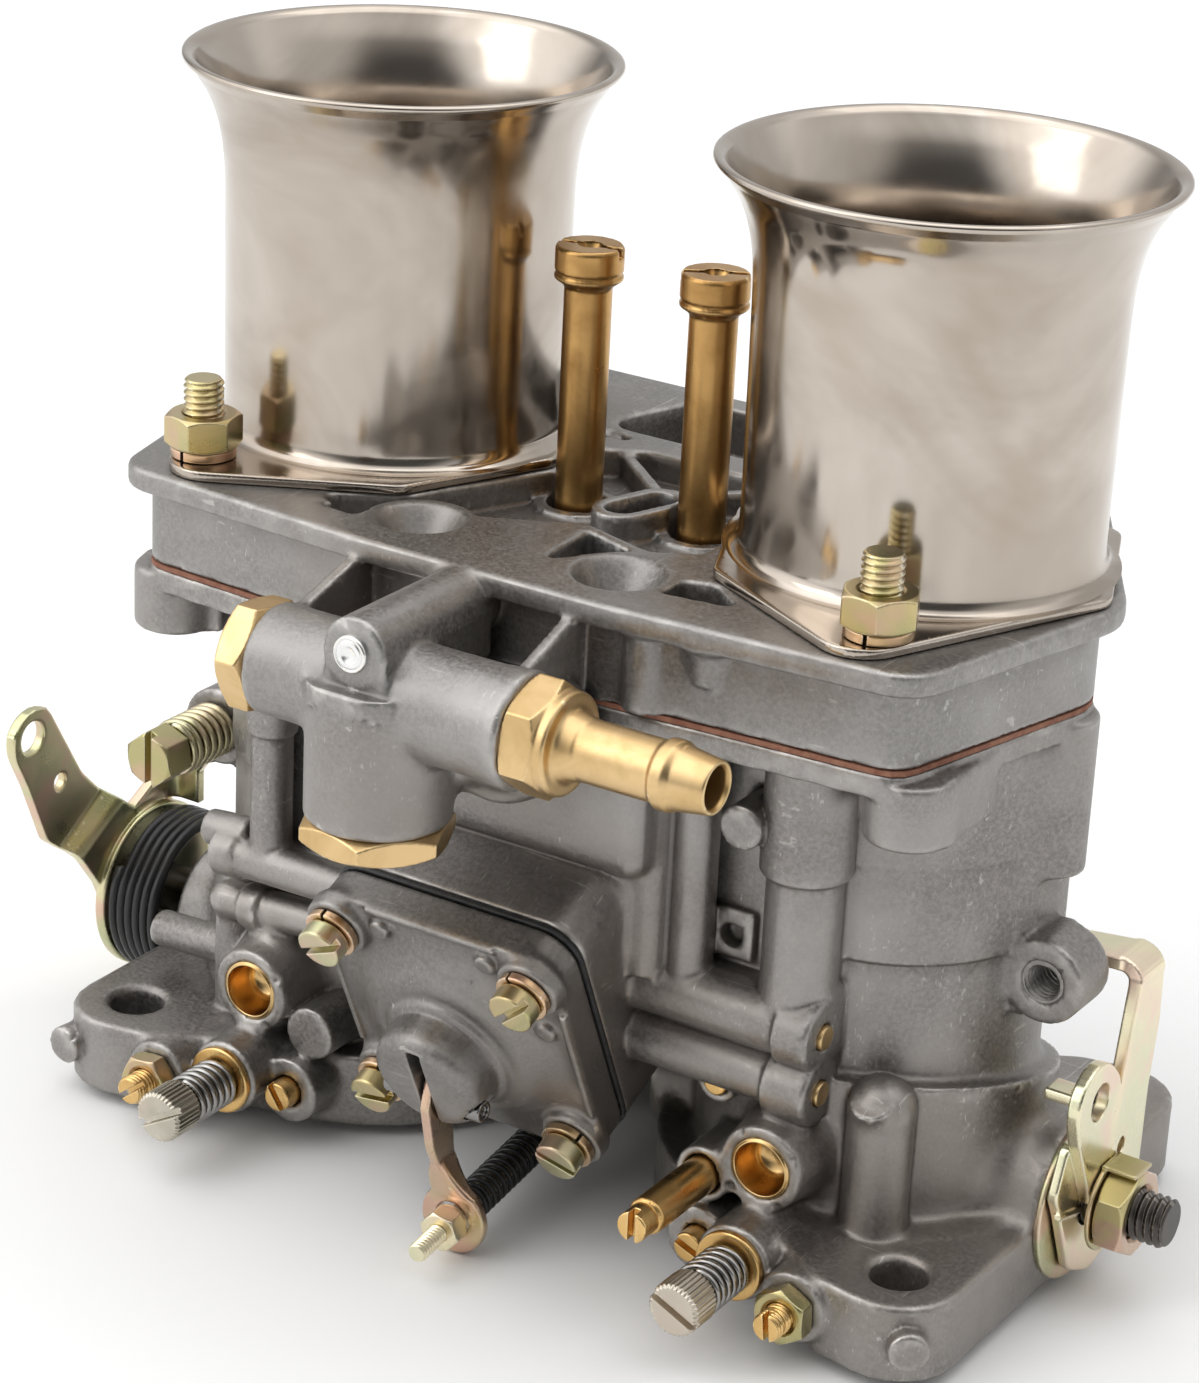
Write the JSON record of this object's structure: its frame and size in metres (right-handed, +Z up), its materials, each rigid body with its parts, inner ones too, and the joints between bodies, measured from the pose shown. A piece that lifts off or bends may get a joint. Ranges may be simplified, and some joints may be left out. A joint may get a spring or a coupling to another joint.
{
  "type": "carburetor",
  "caption": "Twin-barrel downdraught carburettor with flared intake trumpets, a common throttle shaft and a lever-driven accelerator pump.",
  "frame": {"origin": "on the bottom face of the mounting flange, midway between the two barrels and under the bridge that joins the flange pads, 20 mm behind the barrels' axes", "axes": "+X along the row of barrels towards the fuel hose end, +Y away from the fuel inlet, +Z up against the air flow"},
  "size_m": [0.1894, 0.1172, 0.1613],
  "materials": {
    "body_casting": "sand-textured die casting, satin",
    "cover_casting": "sand-textured die casting, satin",
    "pump_casting": "sand-textured die casting, satin",
    "venturi_casting": "machined, satin",
    "stud_zinc": "yellow zinc plated thread",
    "nut_zinc": "yellow zinc plated",
    "polished_nickel": "polished nickel plate, slightly warm",
    "bright_brass": "turned brass, bright",
    "jet_brass": "turned brass, satin",
    "filter_gauze": "fine woven gauze",
    "plate_brass": "rolled brass",
    "screw_zinc": "zinc plated, knurled or slotted",
    "steel_spring": "drawn spring wire",
    "zinc_spring": "yellow zinc plated spring wire",
    "black_spring": "black oiled spring wire",
    "black_steel": "black oxide",
    "gasket_fibre": "red-brown fibre sheet",
    "diaphragm_rubber": "black coated fabric",
    "float_plastic": "moulded, matt",
    "ground_steel": "ground steel",
    "yellow_zinc": "yellow zinc plate with a faint rainbow sheen"
  },
  "bodies": {
    "carburettor_body": {"auxiliary_venturi_left": "venturi_casting", "auxiliary_venturi_right": "venturi_casting", "bypass_locknut_left": "yellow_zinc", "bypass_locknut_right": "yellow_zinc", "cover_gasket": "gasket_fibre", "filter_plug": "bright_brass", "float_pin": "ground_steel", "fuel_filter": "filter_gauze", "fuel_union": "bright_brass", "idle_jet_holder": "jet_brass", "idle_speed_spring": "zinc_spring", "inlet_plug": "bright_brass", "jet_holder_left": "jet_brass", "jet_holder_right": "jet_brass", "mixture_spring_left": "steel_spring", "mixture_spring_right": "steel_spring", "needle_seat": "jet_brass", "pump_cover": "pump_casting", "pump_diaphragm": "diaphragm_rubber", "pump_lever_pin": "ground_steel", "pump_screw_lower_left": "yellow_zinc", "pump_screw_lower_right": "yellow_zinc", "pump_screw_upper_left": "yellow_zinc", "pump_screw_upper_right": "yellow_zinc", "return_spring": "black_spring", "throttle_body": "body_casting", "top_cover": "cover_casting", "trumpet_left": "polished_nickel", "trumpet_nut_front_left": "nut_zinc", "trumpet_nut_front_right": "nut_zinc", "trumpet_nut_rear_left": "nut_zinc", "trumpet_nut_rear_right": "nut_zinc", "trumpet_right": "polished_nickel", "trumpet_stud_front_left": "stud_zinc", "trumpet_stud_front_right": "stud_zinc", "trumpet_stud_rear_left": "stud_zinc", "trumpet_stud_rear_right": "stud_zinc", "venturi_left": "venturi_casting", "venturi_right": "venturi_casting"},
    "throttle": {"throttle_shaft": "black_steel", "throttle_plate_left": "plate_brass", "throttle_plate_right": "plate_brass", "throttle_lever": "yellow_zinc", "stop_washer": "yellow_zinc", "stop_lever": "yellow_zinc", "lock_washer": "yellow_zinc", "shaft_nut": "yellow_zinc"},
    "pump_lever": {"pump_lever": "yellow_zinc"},
    "pump_rod": {"pump_rod": "yellow_zinc", "pump_rod_nut": "yellow_zinc", "pump_rod_spring": "black_spring"},
    "pump_plunger": {"pump_plunger": "ground_steel"},
    "float": {"float": "float_plastic"},
    "inlet_needle": {"inlet_needle": "ground_steel"},
    "mixture_screw_left": {"mixture_screw_left": "screw_zinc"},
    "mixture_screw_right": {"mixture_screw_right": "screw_zinc"},
    "bypass_screw_left": {"bypass_screw_left": "jet_brass"},
    "bypass_screw_right": {"bypass_screw_right": "jet_brass"},
    "idle_speed_screw": {"idle_speed_screw": "screw_zinc"}
  },
  "joints": [
    {"name": "throttle_turn", "type": "hinge", "parent": "carburettor_body", "child": "throttle", "pos_m": [0, -0.02, 0.0132], "axis": [-1, 0, 0], "range_deg": [0, 72], "deforming": ["return_spring"]},
    {"name": "pump_lever_swing", "type": "hinge", "parent": "carburettor_body", "child": "pump_lever", "pos_m": [0, -0.0693, 0.0243], "axis": [-1, 0, 0], "range_deg": [0, 14.9]},
    {"name": "pump_rod_swing", "type": "hinge", "parent": "throttle", "child": "pump_rod", "pos_m": [-0.002, -0.02, 0.0062], "axis": [-1, 0, 0], "range_deg": [-77.78, 0], "deforming": ["pump_rod_spring"]},
    {"name": "pump_stroke", "type": "slide", "parent": "carburettor_body", "child": "pump_plunger", "axis": [0, 0.9063, 0.4226], "range_m": [0, 0.00195]},
    {"name": "float_swing", "type": "hinge", "parent": "carburettor_body", "child": "float", "pos_m": [0, -0.0098, 0.0716], "axis": [1, 0, 0], "range_deg": [-12, 1]},
    {"name": "needle_lift", "type": "slide", "parent": "carburettor_body", "child": "inlet_needle", "axis": [0, 0, 1], "range_m": [-0.00085, 0.0001]},
    {"name": "mixture_screw_left_turn", "type": "hinge", "parent": "carburettor_body", "child": "mixture_screw_left", "pos_m": [-0.045, -0.07, 0.0087], "axis": [0, -1, 0], "range_deg": [-540, 540]},
    {"name": "mixture_screw_right_turn", "type": "hinge", "parent": "carburettor_body", "child": "mixture_screw_right", "pos_m": [0.045, -0.07, 0.0087], "axis": [0, -1, 0], "range_deg": [-540, 540]},
    {"name": "bypass_screw_left_turn", "type": "hinge", "parent": "carburettor_body", "child": "bypass_screw_left", "pos_m": [-0.056, -0.065, 0.0066], "axis": [0, -1, 0], "range_deg": [-540, 540]},
    {"name": "bypass_screw_right_turn", "type": "hinge", "parent": "carburettor_body", "child": "bypass_screw_right", "pos_m": [0.056, -0.065, 0.0066], "axis": [0, -1, 0], "range_deg": [-540, 540]},
    {"name": "idle_speed_screw_turn", "type": "hinge", "parent": "carburettor_body", "child": "idle_speed_screw", "pos_m": [-0.0728, -0.035, 0.048], "axis": [0, -1, 0], "range_deg": [-540, 540]}
  ],
  "couplings": [
    {"joint": "pump_lever_swing", "follows": "throttle_turn", "ratio": 0.2},
    {"joint": "pump_rod_swing", "follows": "throttle_turn", "ratio": -1.0733},
    {"joint": "pump_stroke", "follows": "throttle_turn", "m_per_rad": 0.001512},
    {"joint": "needle_lift", "follows": "float_swing", "m_per_rad": 0.0038}
  ]
}
